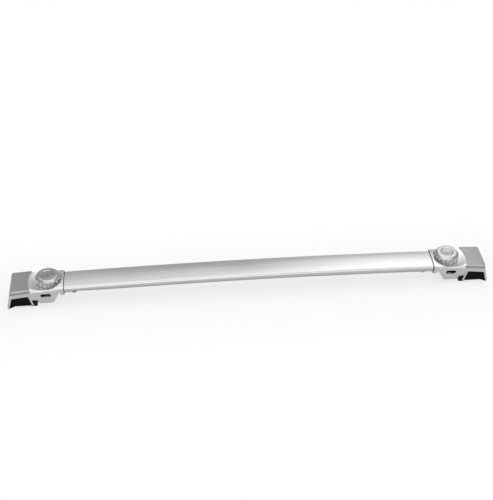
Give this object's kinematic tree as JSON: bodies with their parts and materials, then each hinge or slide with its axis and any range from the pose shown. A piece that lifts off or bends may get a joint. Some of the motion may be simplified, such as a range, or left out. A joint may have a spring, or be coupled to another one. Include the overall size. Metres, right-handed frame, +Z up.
{
  "type": "roof rack crossbar",
  "caption": "Arched roof rack crossbar with clamping feet at both ends, each with a fluted turning knob, a rail jaw and a tie-down loop.",
  "frame": {"origin": "bottom centre of the crossbar's box: midway between the feet, on the level of the outer walls' lips", "axes": "+X along the bar, to the right in the picture; +Y away from the viewer, the way the vehicle's rails run; +Z up"},
  "size_m": [1.154, 0.076, 0.07],
  "materials": {
    "bar_silver": "satin",
    "cast_silver": "satin",
    "cover_silver": "satin",
    "knob_silver": "satin",
    "black_plastic": "matte",
    "black_rubber": "matte",
    "black_coated_steel": "satin",
    "zinc_steel": "satin",
    "washer_plastic": "satin"
  },
  "bodies": {
    "frame": {"crossbar": "bar_silver", "left_foot_casting": "cast_silver", "left_top_cover": "cover_silver", "left_rail_block": "black_plastic", "left_seat_pad": "black_rubber", "left_bar_gasket": "black_rubber", "left_bar_screws": "zinc_steel", "left_cover_screws": "zinc_steel", "left_thrust_washer": "washer_plastic", "right_foot_casting": "cast_silver", "right_top_cover": "cover_silver", "right_rail_block": "black_plastic", "right_seat_pad": "black_rubber", "right_bar_gasket": "black_rubber", "right_bar_screws": "zinc_steel", "right_cover_screws": "zinc_steel", "right_thrust_washer": "washer_plastic"},
    "left_knob": {"left_knob": "knob_silver", "left_knob_disc": "knob_silver", "left_clamp_bolt": "zinc_steel", "left_retaining_ring": "zinc_steel"},
    "left_jaw": {"left_clamp_jaw": "black_coated_steel", "left_jaw_pad": "black_rubber", "left_jaw_nut": "zinc_steel"},
    "right_knob": {"right_knob": "knob_silver", "right_knob_disc": "knob_silver", "right_clamp_bolt": "zinc_steel", "right_retaining_ring": "zinc_steel"},
    "right_jaw": {"right_clamp_jaw": "black_coated_steel", "right_jaw_pad": "black_rubber", "right_jaw_nut": "zinc_steel"}
  },
  "joints": [
    {"name": "left_knob_turn", "type": "hinge", "parent": "frame", "child": "left_knob", "pos_m": [-0.478, 0, 0.06], "axis": [0, 0, 1], "range_deg": [-540, 1800]},
    {"name": "left_jaw_slide", "type": "slide", "parent": "frame", "child": "left_jaw", "axis": [0, 0, 1], "range_m": [-0.00625, 0.00187]},
    {"name": "right_knob_turn", "type": "hinge", "parent": "frame", "child": "right_knob", "pos_m": [0.478, 0, 0.06], "axis": [0, 0, 1], "range_deg": [-540, 1800]},
    {"name": "right_jaw_slide", "type": "slide", "parent": "frame", "child": "right_jaw", "axis": [0, 0, 1], "range_m": [-0.00625, 0.00187]}
  ],
  "couplings": [
    {"joint": "left_knob_turn", "follows": "left_jaw_slide", "rad_per_m": -5026.5},
    {"joint": "right_knob_turn", "follows": "right_jaw_slide", "rad_per_m": -5026.5}
  ]
}
